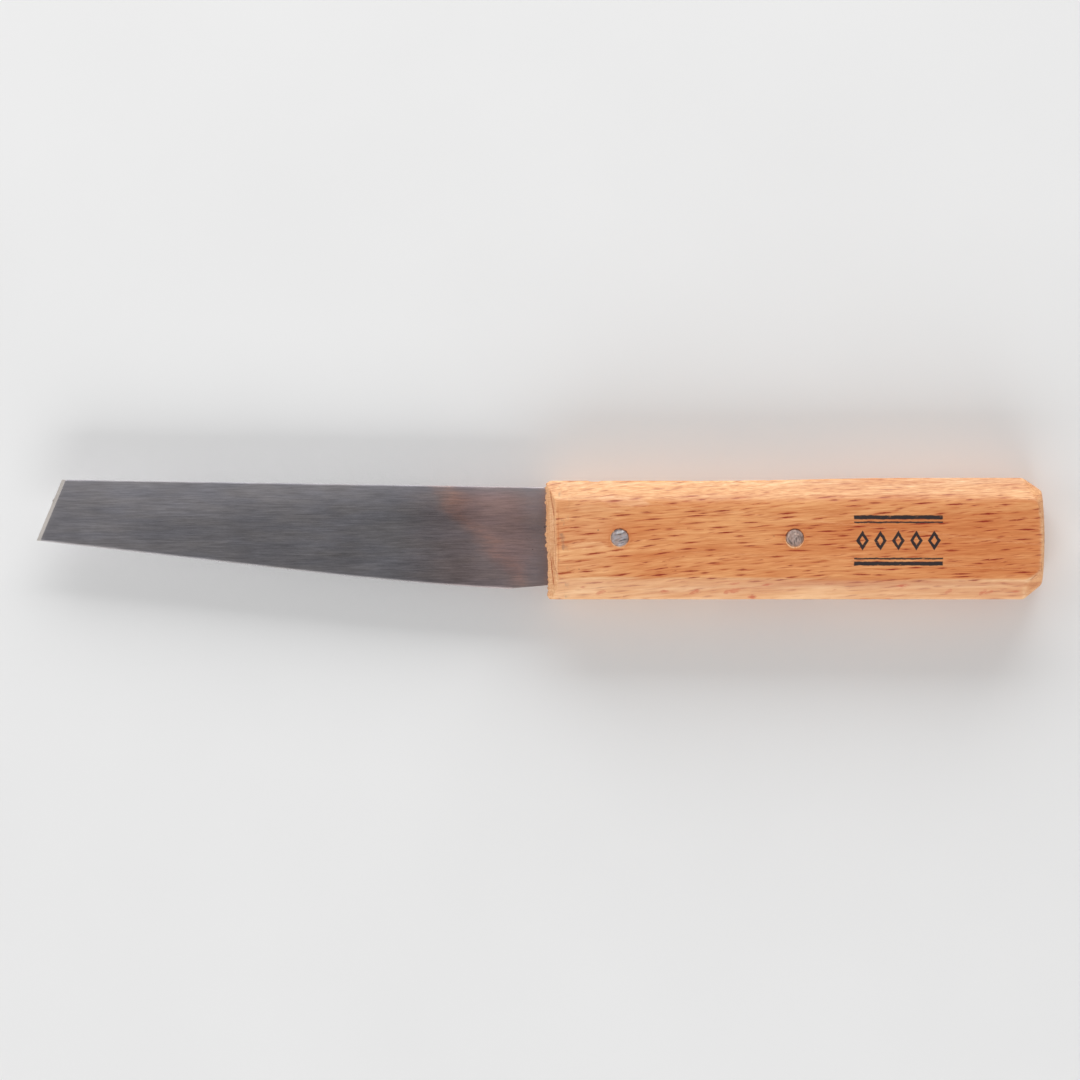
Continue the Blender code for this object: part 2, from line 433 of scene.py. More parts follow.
def srgb(red, green, blue):
    """A colour from its 0-255 display values, as the linear numbers that shaders take."""
    values = [c / 255 for c in (red, green, blue)]
    return [c / 12.92 if c <= 0.04045 else ((c + 0.055) / 1.055) ** 2.4 for c in values] + [1.0]


def plug(socket, value):
    if isinstance(value, bpy.types.NodeSocket):
        value.id_data.links.new(value, socket)
    else:
        socket.default_value = value


def new_node(kind, inputs, **settings):
    """A node with the given inputs, in the node tree that they come from."""
    tree = next(v.id_data for v in inputs.values() if isinstance(v, bpy.types.NodeSocket))
    node = tree.nodes.new(kind)
    for name, value in settings.items():
        setattr(node, name, value)
    for key, value in inputs.items():
        plug(node.inputs[key], value)
    return node


def maths(operation, *values, clamp=False):
    inputs = dict(enumerate(values))
    return new_node("ShaderNodeMath", inputs, operation=operation, use_clamp=clamp).outputs[0]


def plus(first, second, clamp=False):
    return maths("ADD", first, second, clamp=clamp)


def less(first, second):
    return maths("SUBTRACT", first, second)


def times(first, second, clamp=False):
    return maths("MULTIPLY", first, second, clamp=clamp)


def over(first, second):
    return maths("DIVIDE", first, second)


def scaled(value, factor, added, clamp=False):
    """The value times a factor, plus an added amount."""
    return maths("MULTIPLY_ADD", value, factor, added, clamp=clamp)


def summed(total, *terms):
    """The total plus every term, which is a value and its factor."""
    for value, factor in terms:
        total = scaled(value, factor, total)
    return total


def unsigned(value):
    return maths("ABSOLUTE", value)


def vector(operation, *values):
    inputs = dict(enumerate(values))
    return new_node("ShaderNodeVectorMath", inputs, operation=operation).outputs["Vector"]


def split(whole):
    return new_node("ShaderNodeSeparateXYZ", {0: whole}).outputs


def turned(whole, degrees):
    inputs = {"Vector": whole, "Angle": math.radians(degrees)}
    return new_node("ShaderNodeVectorRotate", inputs, rotation_type="Z_AXIS").outputs[0]


def noise(place, scale, detail=2.0, rough=0.5, shift=0.0):
    """Noise from 0 to 1; scale is waves per millimetre along X, Y, Z."""
    moved = vector("ADD", vector("MULTIPLY", place, scale), (shift,) * 3)
    inputs = {"Vector": moved, "Scale": 1.0, "Detail": detail, "Roughness": rough}
    return new_node("ShaderNodeTexNoise", inputs, noise_dimensions="3D").outputs["Fac"]


def fade(value, low, high):
    """0 at low and 1 at high, smooth between; low may be above high."""
    inputs = {"Value": value, "From Min": low, "From Max": high}
    return new_node("ShaderNodeMapRange", inputs, interpolation_type="SMOOTHSTEP").outputs[0]


def mix(factor, first, second, blend="MIX"):
    inputs = {"Factor": factor, 6: first, 7: second}
    return new_node("ShaderNodeMix", inputs, data_type="RGBA", blend_type=blend).outputs[2]


def between(factor, first, second):
    """A colour between two display values."""
    return mix(factor, srgb(*first), srgb(*second))


def multiplied(colour, other):
    return mix(1.0, colour, other, blend="MULTIPLY")


def tint(colour, display, amount, depth=None):
    """Mixes display values into a colour by an amount, or by an amount times a depth."""
    if depth is not None:
        amount = times(amount, depth)
    return mix(amount, colour, srgb(*display))


def lit(colour, *lights):
    """The colour times a grey of this brightness, or times red, green and blue lights."""
    lights = lights * 3 if len(lights) == 1 else lights
    other = new_node("ShaderNodeCombineColor", dict(enumerate(lights)))
    return multiplied(colour, other.outputs[0])


def swayed(value, terms):
    """Adds noises to a value: each term is (noise from 0 to 1, its span)."""
    return summed(value, *[(less(term, 0.5), span) for term, span in terms])


class Look:
    """One procedural material. Its coordinates are the piece's own, in millimetres."""

    def __init__(self, name):
        self.material = bpy.data.materials.new(name)
        self.material.use_nodes = True
        self.nodes = self.material.node_tree.nodes
        self.shader = self.nodes["Principled BSDF"]
        place = self.nodes.new("ShaderNodeTexCoord").outputs["Object"]
        self.mm = vector("MULTIPLY", place, (1 / MM,) * 3)
        self.x, self.y, self.z = split(self.mm)

    def attribute(self, name):
        node = self.nodes.new("ShaderNodeAttribute")
        node.attribute_name = name
        return node.outputs["Fac"]

    def surface(self, colour, rough, height_mm, bump_strength, metallic=0.0):
        """Plugs the shader in. The height in millimetres bends its normal."""
        inputs = {"Strength": bump_strength, "Distance": MM, "Height": height_mm}
        plug(self.shader.inputs["Normal"], new_node("ShaderNodeBump", inputs).outputs[0])
        plug(self.shader.inputs["Base Color"], colour)
        plug(self.shader.inputs["Roughness"], rough)
        self.shader.inputs["Metallic"].default_value = metallic
        return self.material


def flecks(place, cell, half_size, share, seed, roundness=1.4):
    """Thin lens-shaped flecks, one in some of the cells. Gives (mask, chance, halo)."""
    half_length, half_width, half_depth = half_size
    shift = (seed, seed * 2.3, seed * 0.7)
    in_cells = vector("ADD", vector("DIVIDE", place, cell), shift)
    inputs = {"Vector": in_cells, "Scale": 1.0, "Randomness": 0.85}
    cells = new_node("ShaderNodeTexVoronoi", inputs, voronoi_dimensions="3D", feature="F1")
    off = vector("SUBTRACT", in_cells, cells.outputs["Position"])
    dx, dy, dz = split(vector("MULTIPLY", off, cell))
    size_chance, chance, lean_chance = split(cells.outputs["Color"])
    length = scaled(size_chance, half_length * 0.8, half_length * 0.55)
    along = over(dx, length)
    deep = over(dz, half_depth)
    room = less(1.0, maths("POWER", unsigned(along), roundness))
    room = less(room, times(deep, deep))
    lean = times(dx, scaled(lean_chance, 0.13, -0.03))
    across = unsigned(less(dy, lean))
    inside = less(times(room, half_width), across)
    shown = maths("LESS_THAN", chance, share)
    torn = noise(place, (1.3, 9.0, 3.0), detail=1.0, shift=seed)
    inside = scaled(torn, half_width * 0.9, less(inside, half_width * 0.45))
    mask = times(fade(inside, -0.05, half_width * 0.8), shown)
    halo = times(fade(inside, -half_width * 1.9, half_width * 0.3), shown)
    return mask, size_chance, halo


def stroke(look, start, end, half_width, wobble, seed):
    """A straight mark seen from above, tapered to both ends: 1 in its middle, 0 outside."""
    run = Vector(end) - Vector(start)
    length = run.length
    ahead = run / length
    dx = less(look.x, start[0])
    dy = less(look.y, start[1])
    along = scaled(dy, ahead.y, times(dx, ahead.x))
    across = scaled(dx, -ahead.y, times(dy, ahead.x))
    bends = noise(look.mm, (0.9, 0.9, 0.9), shift=seed)
    across = plus(across, scaled(bends, wobble, -wobble / 2))
    share = over(along, length)
    taper = times(share, less(1.0, share))
    taper = times(taper, 6.0, clamp=True)
    inside = less(times(taper, half_width), unsigned(across))
    return fade(inside, -half_width * 0.3, half_width * 0.5)


def stamp_mask(look):
    """A plain maker's-stamp ornament: a row of lozenges between two double rules."""
    wobble = noise(look.mm, (1.1, 1.1, 1.1), detail=3.0, shift=31.0)
    shift = scaled(wobble, 0.36, -0.18)
    dx = plus(less(look.x, STAMP_PLACE[0]), shift)
    dy = plus(less(look.y, STAMP_PLACE[1]), shift)
    up = unsigned(dy)

    def band(middle, half):
        off = unsigned(less(up, middle))
        return fade(off, half + STAMP_EDGE, half - STAMP_EDGE)

    across = unsigned(dx)
    in_reach = fade(across, STAMP_HALF_LENGTH + STAMP_EDGE, STAMP_HALF_LENGTH - STAMP_EDGE)
    rules = times(maths("MAXIMUM", band(*THICK_RULE), band(*THIN_RULE)), in_reach)
    place = maths("PINGPONG", plus(dx, LOZENGE_STEP * 10), LOZENGE_STEP / 2)
    half_length, half_height = LOZENGE_HALF_SIZE
    reach = plus(over(place, half_length), over(up, half_height))
    solid = fade(reach, 1.06, 0.94)
    hollow = fade(reach, 0.42, 0.52)
    lozenges = times(times(solid, hollow), in_reach)
    return maths("MAXIMUM", rules, lozenges)


def varied(colour, terms):
    """Darkens and lightens a colour: each term is (value round 0, its span)."""
    total = summed(1.0, *terms)
    return lit(colour, *[maths("POWER", total, power) for power in (0.5, 1.0, 1.35)])


def rivet_seat(look, colour, spot, gap_shade_shift, pale_shift):
    """The wood round a rivet: bruised, with painted shade in the gap on one side and a pale chip on
    the other.
    """
    off = vector("SUBTRACT", look.mm, (*spot, 0))
    flat = vector("MULTIPLY", off, (1, 1, 0))
    broken = noise(look.mm, (1.6, 1.6, 1.6), detail=3.0, rough=0.6, shift=spot[0])

    def ring(shift, outer, inner):
        off_ring = {0: vector("SUBTRACT", flat, (*shift, 0))}
        away = new_node("ShaderNodeVectorMath", off_ring, operation="LENGTH")
        return fade(away.outputs["Value"], outer, inner)

    near = times(ring((0, 0), 3.4, 1.9), fade(broken, 0.3, 0.62))
    colour = tint(colour, WOOD["bruise"], near, 0.5)
    pale = times(ring(pale_shift, 2.04, 1.88), fade(broken, 0.36, 0.5))
    colour = tint(colour, WOOD["chipped"], pale, 0.7)
    # Painted shade in the gap between the rivet and the wood
    dark = times(ring(gap_shade_shift, 2.06, 1.86), fade(broken, 0.66, 0.42))
    return tint(colour, WOOD["gap_shade"], dark, 0.85)


def grain_space(look, butt):
    """Coordinates that follow the grain, which leans, arches towards the butt and drifts."""
    drift = noise(look.mm, (0.022, 0.09, 0.09), shift=51.0)
    from_arch = less(look.x, butt - GRAIN_ARCH_FROM_BUTT)
    arch = times(times(from_arch, from_arch), GRAIN_ARCH)
    bend = new_node("ShaderNodeCombineXYZ", {"Y": scaled(drift, 3.0, arch)})
    return vector("ADD", turned(look.mm, GRAIN_LEAN_DEGREES), bend.outputs[0])


def base_tone(look, lean, front):
    """Wide bands of paler and deeper wood, deeper towards the butt, with the photo's patches."""
    bands = noise(lean, (0.018, 0.26, 0.1), detail=3.0, rough=0.55, shift=2.0)
    to_butt = scaled(look.x, 0.0016, -0.06)
    warmth = plus(fade(bands, 0.3, 0.72), to_butt, clamp=True)
    colour = between(warmth, WOOD["pale_band"], WOOD["deep_band"])
    near_front = fade(look.x, front + 20, front + 9)
    colour = tint(colour, WOOD["paler_front"], near_front, 0.28)
    # Some of these patches are painted highlight and shade on the spine side's chamfer
    for number, (begins, ends, half_width, depth, tone) in enumerate(TONE_AND_HIGHLIGHT_PATCHES):
        patch = stroke(look, begins, ends, half_width, 1.2, 140.0 + number)
        colour = tint(colour, tone, patch, depth)
    return colour


def lower_arris_painted_light(look, edge, butt):
    """Near the butt, painted shade darkens the edge side's chamfer and a painted highlight lightens
    the arris above it.
    """
    rear_part = fade(look.x, butt - 50.0, butt - 38.0)
    from_edge = less(look.y, edge)
    chamfer = times(fade(from_edge, 1.5, 2.6), fade(from_edge, 3.9, 3.4))
    arris = times(fade(from_edge, 3.5, 3.9), fade(from_edge, 5.6, 4.2))
    return ((times(chamfer, rear_part), -0.17), (times(arris, rear_part), 0.17))


def ray_flecks(colour, lean, seen, edge_side):
    """Dark, faint and broad ray flecks. Gives the colour and the dark flecks' mask."""
    dark, chance, halo = flecks(lean, (7.0, 1.5, 14.0), (2.25, 0.205, 11.0), 0.88, 3.1)
    faint, _, _ = flecks(lean, (5.6, 1.2, 14.0), (1.8, 0.165, 11.0), 0.85, 17.7)
    broad, _, _ = flecks(lean, (9.0, 2.2, 8.0), (1.7, 0.5, 5.5), 0.55, 25.3)
    depth = times(scaled(chance, 0.26, 0.82), seen)
    colour = tint(colour, WOOD["fleck_halo"], halo, times(depth, 0.3))
    colour = tint(colour, WOOD["dark_fleck"], dark, depth)
    colour = tint(colour, WOOD["faint_fleck"], faint, times(seen, 0.56))
    ragged = fade(noise(lean, (0.6, 3.0, 1.0), detail=3.0, shift=71.0), 0.3, 0.5)
    broad_depth = times(times(edge_side, ragged), 0.85)
    return tint(colour, WOOD["broad_fleck"], broad, broad_depth), dark


def strokes(look, table, wobble, seed):
    """Each mark of a table of places on the handle, with its depth."""
    for number, (begins, ends, half_width, depth) in enumerate(table):
        spots = (on_handle(*begins), on_handle(*ends))
        yield stroke(look, *spots, half_width, wobble, seed + number), depth


def hand_work(look, colour, lean, steepness):
    """Painted shade along the creases, rays cut open on the edge side, and the bruised wood round
    each rivet with painted shade in its gap.
    """
    not_steep = fade(steepness, 0.16, 0.42)
    # Painted shade along the creases, kept off the steep faces
    for crease_shade, depth in strokes(look, CREASE_SHADES, 0.3, 80.0):
        colour = tint(colour, WOOD["crease_shade"], times(crease_shade, not_steep), depth)
    shredded = noise(lean, (0.9, 4.5, 4.5), shift=67.0)
    shredded = scaled(fade(shredded, 0.36, 0.56), 0.6, 0.4)
    for ray, depth in strokes(look, OPEN_RAYS, 0.55, 120.0):
        colour = tint(colour, WOOD["open_ray"], times(ray, shredded), depth)
    for node in RIVET_NODES:
        colour = rivet_seat(look, colour, rivet_circle(node)[0], *SEAT_SHIFTS[node])
    return colour


def dirt(look, colour, front):
    """Grey smudges just behind the front arris, and a few dark specks."""
    smudges = noise(look.mm, (0.55, 0.35, 0.35), detail=3.0, rough=0.6, shift=33.0)
    smudges = fade(smudges, 0.52, 0.66)
    at_front = fade(look.x, front + 5.5, front + 3.0)
    at_front = times(at_front, fade(look.x, front + 2.5, front + 2.8))
    smudges = times(times(smudges, at_front), 0.5)
    colour = tint(colour, WOOD["smudge"], smudges)
    specks, _, _ = flecks(look.mm, (9.0, 8.0, 7.0), (0.2, 0.14, 3.0), 0.3, 41.3, 3.0)
    return tint(colour, WOOD["speck"], specks, 0.75)


def ink(look, colour, lean, top):
    """The stamp, on the upper cheek only, with its ink broken by the grain."""
    on_top = fade(look.z, top - 0.6, top - 0.3)
    broken = noise(lean, (0.6, 3.2, 3.2), detail=4.0, rough=0.7, shift=41.0)
    shown = times(stamp_mask(look), on_top)
    shown = times(shown, fade(broken, 0.24, 0.38))
    return tint(colour, WOOD["ink"], shown, 0.98)


def beech():
    """Steamed beech: warm bands, fine fibres, ray flecks, rough end grain, an ink stamp, and
    painted light and shade on its slants, arrises and creases.
    """
    look = Look("beech_wood")
    low, high = box_mm("handle")
    front, edge, _ = low
    butt, spine, top = high
    lean = grain_space(look, butt)
    colour = base_tone(look, lean, front)

    broad = noise(lean, (0.05, 1.0, 0.6), shift=9.0)
    fibres = noise(lean, (0.12, 2.6, 2.6), rough=0.6, shift=5.0)
    fine = noise(lean, (0.35, 6.0, 6.0), rough=0.6, shift=15.0)
    threads = noise(lean, (0.05, 1.5, 1.5), detail=3.0, shift=61.0)
    blotches = noise(lean, (0.11, 0.45, 0.45), detail=3.0, rough=0.6, shift=77.0)

    # Painted light: slanting faces and the outer strips are painted paler, and the arrises are
    # paler from wear and from a painted highlight
    geometry = look.nodes.new("ShaderNodeNewGeometry")
    steepness = unsigned(split(geometry.outputs["Normal"])["Z"])
    # Painted highlight: faces are painted paler the more they slant
    slanting = fade(steepness, 0.97, 0.8)
    colour = tint(colour, WOOD["slanting"], slanting, 0.26)
    # Painted highlight on the outer strips
    outer = fade(unsigned(look.y), spine - 3.0, spine - 0.9)
    outer = times(outer, fade(broad, 0.35, 0.6))
    colour = tint(colour, WOOD["outer_highlight"], outer, 0.24)
    # Arrises painted paler: partly wear, partly a painted highlight
    arris_wear_and_highlight = times(fade(look.attribute("arris_wear_and_highlight"), 0.1, 0.5), 0.42)
    arris_wear_and_highlight = times(arris_wear_and_highlight, fade(broad, 0.32, 0.58))
    colour = tint(colour, WOOD["worn_arris_and_highlight"], arris_wear_and_highlight)

    # Fibres: quiet and blotched on the edge side's chamfer, lively on the spine's
    edge_side = times(slanting, fade(look.y, edge + 6, edge + 4))
    calm = scaled(edge_side, -0.55, 1.0)
    lively = scaled(less(slanting, edge_side), 1.4, calm)
    spine_margin = times(fade(look.y, 2.5, 5.0), fade(slanting, 0.8, 0.0))
    terms = (
        (less(broad, 0.5), 0.3),
        (times(less(fibres, 0.5), calm), 0.95),
        (times(less(fine, 0.5), lively), 0.84),
        (times(less(blotches, 0.5), edge_side), 0.6),
        (spine_margin, -0.05),
        # Painted shade and painted highlight at the edge side's arris near the butt
        *lower_arris_painted_light(look, edge, butt),
    )
    colour = varied(colour, terms)
    colour = tint(colour, WOOD["thread"], fade(threads, 0.6, 0.74), 0.42)
    seen = scaled(maths("MAXIMUM", slanting, edge_side), -0.58, 1.0)
    colour, dark = ray_flecks(colour, lean, seen, edge_side)

    end = look.attribute("end_grain")
    rings = noise(look.mm, (0.1, 0.12, 1.3), detail=3.0, shift=13.0)
    rays = noise(look.mm, (0.6, 5.0, 0.35), shift=19.0)
    pores = noise(look.mm, (2.5, 6.0, 6.0), shift=23.0)
    end_colour = between(fade(rings, 0.32, 0.68), WOOD["deep_ring"], WOOD["pale_ring"])
    end_terms = [(less(value, 0.5), 1.1) for value in (rays, pores)]
    end_colour = varied(end_colour, end_terms)
    colour = mix(times(end, 0.85), colour, end_colour)

    colour = hand_work(look, colour, lean, steepness)
    colour = dirt(look, colour, front)
    colour = ink(look, colour, lean, top)

    rough = scaled(end, 0.3, scaled(fine, 0.16, 0.42), clamp=True)
    height = summed(times(fine, 0.02), (fibres, 0.03), (dark, -0.025))
    height = summed(height, (times(end, pores), 0.1), (times(end, rays), 0.08))
    look.shader.inputs["IOR"].default_value = 1.47
    return look.surface(colour, rough, height, 0.7)


def heat_tint(look, colour, front_x, from_spine, dashes):
    """The brown left by the heat of forging the tang, with a straw-coloured rim."""
    ragged = noise(look.mm, (0.16, 0.22, 0.0), detail=4.0, rough=0.6, shift=27.0)
    lobe = fade(unsigned(less(look.y, 4.5)), 4.5, 0.0)
    slant = summed(look.x, (look.y, 0.8), (ragged, 6.5), (lobe, 2.4))
    warm = fade(slant, front_x - 13.8, front_x - 8.4)
    rim = times(fade(slant, front_x - 5.0, front_x - 9.8), warm)
    rim_light = summed(0.1, (fade(look.y, 1.0, 9.0), 0.35), (fade(dashes, 0.42, 0.62), 0.28))
    spread = scaled(ragged, 5.0, look.x)
    spread = fade(spread, front_x - 32.0, front_x - 12.0)
    warm = scaled(spread, 0.5, times(warm, 0.5))
    corners = times(times(look.y, look.y), 0.03)
    cool_end = scaled(ragged, 3.0, plus(look.x, corners))
    cool_end = fade(cool_end, 3.0, -3.5)
    warm = times(warm, scaled(cool_end, 0.5, 0.5))
    warm = times(warm, fade(from_spine, -1.5, 3.0))
    colour = mix(warm, colour, multiplied(colour, BROWN_TINT))
    return mix(times(rim, rim_light), colour, multiplied(colour, STRAW_TINT))


def painted_blade_reflections(look, point_x, front_x, from_spine):
    """Painted reflections on the ground steel, as a brightness for its colour: paler towards the
    spine and the point, a painted highlight along the spine, patches, and paler then a little less
    so towards the handle.
    """
    light = scaled(fade(from_spine, 8.5, -1.0), 0.43, 0.8)
    light = scaled(fade(from_spine, 0.5, 0.1), 0.25, light)
    light = scaled(fade(look.x, point_x + 50, point_x + 8), 0.155, light)
    for (middle_x, middle_y), (half_length, half_height), change in BLADE_REFLECTION_PATCHES:
        dx = over(less(look.x, middle_x), half_length)
        dy = over(less(look.y, middle_y), half_height)
        off = scaled(dy, dy, times(dx, dx))
        light = scaled(fade(off, 1.3, 0.0), change, light)
    light = scaled(fade(look.x, front_x - 20, front_x - 12), 0.15, light)
    return scaled(fade(look.x, front_x - 11, front_x - 4), -0.05, light)


def blade_steel():
    """Ground carbon steel: lengthwise grinding lines, cloudy grey, painted reflections and a
    straw-brown heat tint.
    """
    look = Look("ground_blade_steel")
    point_x, front_x = box_mm("blade")[0][0], box_mm("handle")[0][0]
    clouds = noise(look.mm, (0.07, 0.13, 0.0), detail=4.0, rough=0.6, shift=3.0)
    lines = noise(look.mm, (0.22, 4.6, 1.0), detail=3.0, rough=0.65, shift=6.0)
    grit = noise(look.mm, (1.6, 5.0, 1.0), rough=0.6, shift=46.0)
    dashes = noise(look.mm, (0.3, 2.6, 1.0), detail=3.0, rough=0.6, shift=16.0)
    tone = noise(look.mm, (0.08, 0.35, 0.0), shift=21.0)
    colour = between(fade(tone, 0.3, 0.7), STEEL["warm_grey"], STEEL["cool_grey"])

    from_spine = less(scaled(look.x, -SPINE_RISE, SPINE_Y), look.y)
    # Painted reflections, varied by the grinding lines, clouds, dashes and grit
    light = painted_blade_reflections(look, point_x, front_x, from_spine)
    terms = ((clouds, 0.3), (lines, 0.38), (dashes, 0.18), (grit, 0.2))
    colour = lit(colour, swayed(light, terms))
    colour = heat_tint(look, colour, front_x, from_spine, dashes)

    pits, _, _ = flecks(look.mm, (2.6, 2.2, 3.0), (0.17, 0.12, 2.0), 0.3, 13.1, 3.0)
    near_wood = fade(look.x, front_x - 6, front_x - 1)
    colour = tint(colour, STEEL["pit"], pits, near_wood)
    fresh = look.attribute("keen")
    honed = between(fade(look.y, 1.0, 9.0), STEEL["honed_low"], STEEL["honed_high"])
    colour = mix(times(fresh, 0.92), colour, honed)

    rough = summed(0.26, (lines, 0.22), (clouds, 0.1), (fresh, 0.18))
    cuts = noise(turned(look.mm, 35.0), (0.4, 6.0, 1.0), shift=37.0)
    height = summed(times(lines, 0.012), (dashes, 0.006), (times(cuts, fresh), 0.05))
    return look.surface(colour, rough, height, 0.5, metallic=1.0)


def rivet_iron(name, spot, scratch_degrees, brightness, marks, tones):
    """Iron wire end: filed almost flat, with coarse slanting scratches, streaks of painted
    highlight and two mottled tones.
    """
    look = Look(name)
    along_scratches = turned(look.mm, scratch_degrees)
    scratches = noise(along_scratches, (0.45, 2.6, 0.3), detail=4.0, rough=0.65, shift=4.0)
    patches = noise(look.mm, (1.1, 1.1, 0.3), detail=3.0, shift=8.0)
    light = swayed(brightness, ((scratches, 1.7), (patches, 1.0)))
    # Marks: scratches, and streaks of painted highlight
    for start, end, half_width, change in marks:
        ends = [(spot[0] + x, spot[1] + y) for x, y in (start, end)]
        mark = stroke(look, *ends, half_width, 0.1, 90.0)
        light = scaled(mark, change, light)
    colour = between(fade(patches, 0.4, 0.6), *tones)
    rough = scaled(scratches, 0.2, 0.36)
    return look.surface(lit(colour, light), rough, times(light, 0.05), 0.6, metallic=1.0)


def studio_floor():
    look = Look("studio_floor")
    speck = noise(look.mm, (0.02, 0.02, 0.02), detail=3.0)
    plug(look.shader.inputs["Base Color"], mix(speck, *FLOOR_GREYS))
    look.shader.inputs["Roughness"].default_value = 0.9
    return look.material


# --- handle


def facet(a, b, c, inside):
    """The plane through three points: its outward normal, and its distance from the origin."""
    a, b, c = (np.array(p, float) for p in (a, b, c))
    normal = np.cross(b - a, c - a)
    normal /= np.linalg.norm(normal)
    if normal @ (inside - a) > 0:
        normal = -normal
    return normal, normal @ a


def butt_bow(y):
    return BUTT_BOW * (y / BUTT_BOW_HALF) ** 2


def handle_facets(low, high):
    """Every flat of the handle, before its butt is bowed. Those cut across the grain come first.

    An upright flat is given by two points seen from above. A slanting one is given by three,
    as (x, y, depth under the cheek), and is cut from both cheeks.
    """
    front, edge, bottom = low
    butt, spine, top = high
    inside = (low + high) / 2
    sliver = front + FRONT_SLIVER
    strip, strip_depth = BUTT_STRIP
    fold_y, fold_depth = EDGE_CHAMFER_FOLD
    fold_y += edge
    spine_arris = spine - SPINE_CHAMFER
    arris_at_front = edge + EDGE_CHAMFER_FRONT
    arris_at_butt = edge + EDGE_CHAMFER_BUTT

    def by_butt(from_butt, y, *depth):
        return (butt - from_butt + butt_bow(y), y, *depth)

    across_uprights = (
        ((front, spine), (front + FRONT_SLANT, edge)),
        ((front, spine - 1.0), (front + 0.7, spine)),
        ((front + FRONT_SLANT, edge + 0.5), (front + FRONT_SLANT + 0.4, edge)),
        ((butt, edge), (butt, spine)),
    )
    across_slants = (
        ((butt - strip, 0, 0), (butt - strip, 1, 0), (butt, 0, strip_depth)),
        ((front + 0.9, spine - 2.35, 1.78), (front + 2.2, edge + 9.85, 0.1), (front, 2.0, 3.8)),
        (
            (front + 0.95, edge + 10.25, 0.35),
            (front + 2.4, edge + 4.95, 0.05),
            (front + 0.3, edge + 3.85, 3.2),
        ),
    )
    along_uprights = (
        (by_butt(4.6, spine), by_butt(0.9, spine - 2.5)),
        (by_butt(4.2, edge + 0.15), by_butt(0.7, edge + 3.0)),
        ((front, spine), (butt, spine)),
        ((front, edge), (butt, edge)),
    )
    along_slants = (
        ((sliver, 0, 0), (sliver, 1, 0), (sliver - 1, 0, FRONT_SLIVER_DROP)),
        ((front, 0, 0), (butt, 0, 0), (butt, 1, 0)),
        ((front, spine_arris, 0), (butt, spine_arris, 0), (butt, spine, CHAMFER_DEPTH)),
        ((front, arris_at_front, 0), (butt, arris_at_butt, 0), (front, fold_y, fold_depth)),
        ((front, fold_y, fold_depth), (butt, fold_y, fold_depth), (butt, edge, CHAMFER_DEPTH)),
        (
            by_butt(4.6, spine, CHAMFER_DEPTH),
            by_butt(1.75, spine_arris, 0),
            by_butt(0.9, spine - 2.5, CHAMFER_DEPTH),
        ),
        (
            by_butt(1.35, spine - 4.9, 0),
            by_butt(0.75, spine - 8, 0),
            by_butt(0.1, spine - 6.4, 1.7),
        ),
        (
            by_butt(1.0, edge + 5.75, 0),
            by_butt(3.5, arris_at_butt, 0),
            by_butt(4.2, edge + 0.15, CHAMFER_DEPTH),
        ),
    )

    def flats(uprights, slants):
        planes = [facet((*a, 0), (*b, 0), (*b, 1), inside) for a, b in uprights]
        for cheek_z, inwards in ((top, -1), (bottom, 1)):
            for corners in slants:
                real = [(x, y, cheek_z + inwards * depth) for x, y, depth in corners]
                planes.append(facet(*real, inside))
        return planes

    across_grain = flats(across_uprights, across_slants)
    return across_grain + flats(along_uprights, along_slants), len(across_grain)


def steps(low, high, size):
    return np.linspace(low, high, max(2, round((high - low) / size) + 1))


def graded(low, high, zone, coarse, fine):
    """Coordinates from low to high, closer together in a zone at both ends."""
    first = steps(low, low + zone, fine)
    inner = steps(low + zone, high - zone, coarse)
    last = steps(high - zone, high, fine)
    return np.concatenate([first[:-1], inner, last[1:]])


def soft_least(reach, sharpness):
    """The least of each row, rounded off where two are close, and each column's share in it."""
    least = reach.min(axis=1)
    weights = np.exp(-sharpness * (reach - least[:, None]))
    total = weights.sum(axis=1)
    return least - np.log(total) / np.squeeze(sharpness), weights / total[:, None]


def carve(points, low, high):
    """Pushes lattice points onto the facets. Gives points, directions, end-grain share, and each
    point's nearness to an arris, for wear and a painted highlight.
    """
    planes, across_count = handle_facets(low, high)
    middle = (low + high) / 2
    core_low = low + CORE_INSET
    core_high = high - CORE_INSET
    core_low[2] = core_high[2] = middle[2]
    roots = np.clip(points, core_low, core_high)
    ways = points - roots
    ways /= np.linalg.norm(ways, axis=1, keepdims=True)
    normals = np.array([n for n, _ in planes])
    distances = np.array([d for _, d in planes])
    facing = ways @ normals.T
    room = distances - roots @ normals.T
    reach = np.where(facing > 1e-4, room / np.maximum(facing, 1e-4), 1e3)

    x, y, _ = points.T
    near, far = SOFT_ARRIS_FROM_END
    softness = ease(*SOFT_ARRIS_REACH, np.abs(y - (high[1] - SPINE_CHAMFER)))
    softness *= ease(low[0] + near, low[0] + far, x)
    softness *= ease(high[0] - near, high[0] - far, x)
    softness = np.maximum(softness, BUTT_SOFTNESS * ease(high[0] - 4, high[0] - 2, x))
    sharpness = ARRIS_SHARPNESS + (SOFT_ARRIS_SHARPNESS - ARRIS_SHARPNESS) * softness
    distance, shares = soft_least(reach, sharpness[:, None])
    end_grain = shares[:, :across_count].sum(axis=1)
    # Nearness to an arris, which the wood paints paler for wear and as a painted highlight
    arris_wear_and_highlight = (1 - shares.max(axis=1)) * ease(low[0] + 3.5, low[0] + 6, x)
    arris_wear_and_highlight *= 1 - 0.75 * ease(high[1] - 7, high[1] - 6, y)
    return roots + ways * distance[:, None], ways, end_grain, arris_wear_and_highlight


def left_of(points, start, end):
    """How far points lie to the left of a line, seen from above."""
    start, end = np.array(start, float), np.array(end, float)
    along = (end - start) / np.linalg.norm(end - start)
    off = points[:, :2] - start
    return along[0] * off[:, 1] - along[1] * off[:, 0]


